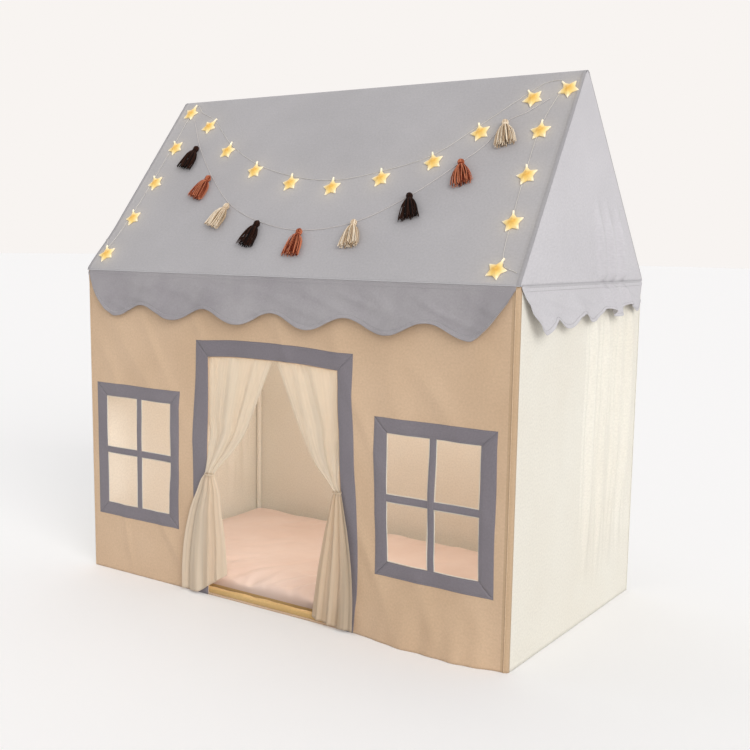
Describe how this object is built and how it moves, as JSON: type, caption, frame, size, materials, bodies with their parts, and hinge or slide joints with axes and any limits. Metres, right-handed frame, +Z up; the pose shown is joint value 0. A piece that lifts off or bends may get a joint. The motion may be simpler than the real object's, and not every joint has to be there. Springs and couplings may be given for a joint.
{
  "type": "play tent",
  "caption": "Child's indoor play tent shaped like a house: sewn cover on a plug-together tube frame, door, windows, padded mat.",
  "frame": {"origin": "on the floor, under the middle of the tent", "axes": "+X along the ridge towards the right end as seen from the door, +Y from the door to the back wall, +Z up"},
  "size_m": [1.3634, 0.753, 1.3156],
  "materials": {
    "wall_canvas": "matte",
    "side_canvas": "matte",
    "roof_canvas": "matte",
    "trim_canvas": "matte",
    "voile": "matte",
    "mat_cotton": "matte",
    "white_tube": "satin",
    "white_moulding": "satin",
    "star_plastic": "satin",
    "light_wire": "satin",
    "case_plastic": "satin",
    "knob_plastic": "satin",
    "garland_twine": "matte",
    "dark_yarn": "matte",
    "rust_yarn": "matte",
    "cream_yarn": "matte"
  },
  "bodies": {
    "tent": {"front_wall": "wall_canvas", "back_wall": "side_canvas", "left_wall": "side_canvas", "right_wall": "side_canvas", "roof_cover": "roof_canvas", "left_gable": "roof_canvas", "right_gable": "roof_canvas", "door_trim": "trim_canvas", "left_window_trim": "trim_canvas", "right_window_trim": "trim_canvas", "left_curtain": "voile", "right_curtain": "voile", "floor_mat": "mat_cotton", "ridge_pole": "white_tube", "base_rail_front": "white_tube", "base_rail_back": "white_tube", "base_rail_left": "white_tube", "base_rail_right": "white_tube", "eave_rail_front": "white_tube", "eave_rail_back": "white_tube", "eave_rail_left": "white_tube", "eave_rail_right": "white_tube", "post_front_left": "white_tube", "post_front_right": "white_tube", "post_back_left": "white_tube", "post_back_right": "white_tube", "rafter_front_left": "white_tube", "rafter_front_right": "white_tube", "rafter_back_left": "white_tube", "rafter_back_right": "white_tube", "foot_connector_front_left": "white_moulding", "foot_connector_front_right": "white_moulding", "foot_connector_back_left": "white_moulding", "foot_connector_back_right": "white_moulding", "eave_connector_front_left": "white_moulding", "eave_connector_front_right": "white_moulding", "eave_connector_back_left": "white_moulding", "eave_connector_back_right": "white_moulding", "ridge_connector_left": "white_moulding", "ridge_connector_right": "white_moulding", "light_string": "star_plastic", "battery_case": "case_plastic", "battery_lid": "case_plastic", "garland_cord": "garland_twine"},
    "front_flap": {"front_valance": "roof_canvas"},
    "back_flap": {"back_valance": "roof_canvas"},
    "left_flap": {"left_valance": "roof_canvas"},
    "right_flap": {"right_valance": "roof_canvas"},
    "left_tail": {"left_curtain_tail": "voile"},
    "right_tail": {"right_curtain_tail": "voile"},
    "switch_knob": {"light_switch": "knob_plastic"},
    "hanging_tassel_1": {"tassel_1": "dark_yarn"},
    "hanging_tassel_2": {"tassel_2": "rust_yarn"},
    "hanging_tassel_3": {"tassel_3": "cream_yarn"},
    "hanging_tassel_4": {"tassel_4": "dark_yarn"},
    "hanging_tassel_5": {"tassel_5": "rust_yarn"},
    "hanging_tassel_6": {"tassel_6": "cream_yarn"},
    "hanging_tassel_7": {"tassel_7": "dark_yarn"},
    "hanging_tassel_8": {"tassel_8": "rust_yarn"},
    "hanging_tassel_9": {"tassel_9": "cream_yarn"}
  },
  "joints": [
    {"name": "front_valance_lift", "type": "hinge", "parent": "tent", "child": "front_flap", "pos_m": [0, -0.3549, 0.8295], "axis": [-1, 0, 0], "range_deg": [0, 110]},
    {"name": "back_valance_lift", "type": "hinge", "parent": "tent", "child": "back_flap", "pos_m": [0, 0.3549, 0.8295], "axis": [1, 0, 0], "range_deg": [0, 110]},
    {"name": "left_valance_lift", "type": "hinge", "parent": "tent", "child": "left_flap", "pos_m": [-0.6509, 0, 0.8295], "axis": [0, 1, 0], "range_deg": [0, 110]},
    {"name": "right_valance_lift", "type": "hinge", "parent": "tent", "child": "right_flap", "pos_m": [0.6509, 0, 0.8295], "axis": [0, -1, 0], "range_deg": [0, 110]},
    {"name": "left_tail_swing", "type": "hinge", "parent": "tent", "child": "left_tail", "pos_m": [-0.205, -0.3678, 0.3217], "axis": [-1, 0, 0], "range_deg": [0, 30]},
    {"name": "right_tail_swing", "type": "hinge", "parent": "tent", "child": "right_tail", "pos_m": [0.19, -0.3678, 0.3337], "axis": [-1, 0, 0], "range_deg": [0, 30]},
    {"name": "light_switch_slide", "type": "slide", "parent": "tent", "child": "switch_knob", "axis": [0, -1, 0], "range_m": [0, 0.003]},
    {"name": "tassel_1_swing", "type": "hinge", "parent": "tent", "child": "hanging_tassel_1", "pos_m": [-0.4753, -0.1094, 1.1729], "axis": [0, -0.8102, 0.5862], "range_deg": [-20, 20]},
    {"name": "tassel_2_swing", "type": "hinge", "parent": "tent", "child": "hanging_tassel_2", "pos_m": [-0.3719, -0.1721, 1.0863], "axis": [0, -0.8102, 0.5862], "range_deg": [-20, 20]},
    {"name": "tassel_3_swing", "type": "hinge", "parent": "tent", "child": "hanging_tassel_3", "pos_m": [-0.2541, -0.2284, 1.0084], "axis": [0, -0.8102, 0.5862], "range_deg": [-20, 20]},
    {"name": "tassel_4_swing", "type": "hinge", "parent": "tent", "child": "hanging_tassel_4", "pos_m": [-0.1242, -0.261, 0.9634], "axis": [0, -0.8102, 0.5862], "range_deg": [-20, 20]},
    {"name": "tassel_5_swing", "type": "hinge", "parent": "tent", "child": "hanging_tassel_5", "pos_m": [0.0206, -0.2753, 0.9436], "axis": [0, -0.8102, 0.5862], "range_deg": [-20, 20]},
    {"name": "tassel_6_swing", "type": "hinge", "parent": "tent", "child": "hanging_tassel_6", "pos_m": [0.1693, -0.2592, 0.9658], "axis": [0, -0.8102, 0.5862], "range_deg": [-20, 20]},
    {"name": "tassel_7_swing", "type": "hinge", "parent": "tent", "child": "hanging_tassel_7", "pos_m": [0.2915, -0.2137, 1.0287], "axis": [0, -0.8102, 0.5862], "range_deg": [-20, 20]},
    {"name": "tassel_8_swing", "type": "hinge", "parent": "tent", "child": "hanging_tassel_8", "pos_m": [0.393, -0.157, 1.1071], "axis": [0, -0.8102, 0.5862], "range_deg": [-20, 20]},
    {"name": "tassel_9_swing", "type": "hinge", "parent": "tent", "child": "hanging_tassel_9", "pos_m": [0.4693, -0.0901, 1.1995], "axis": [0, -0.8102, 0.5862], "range_deg": [-20, 20]}
  ]
}
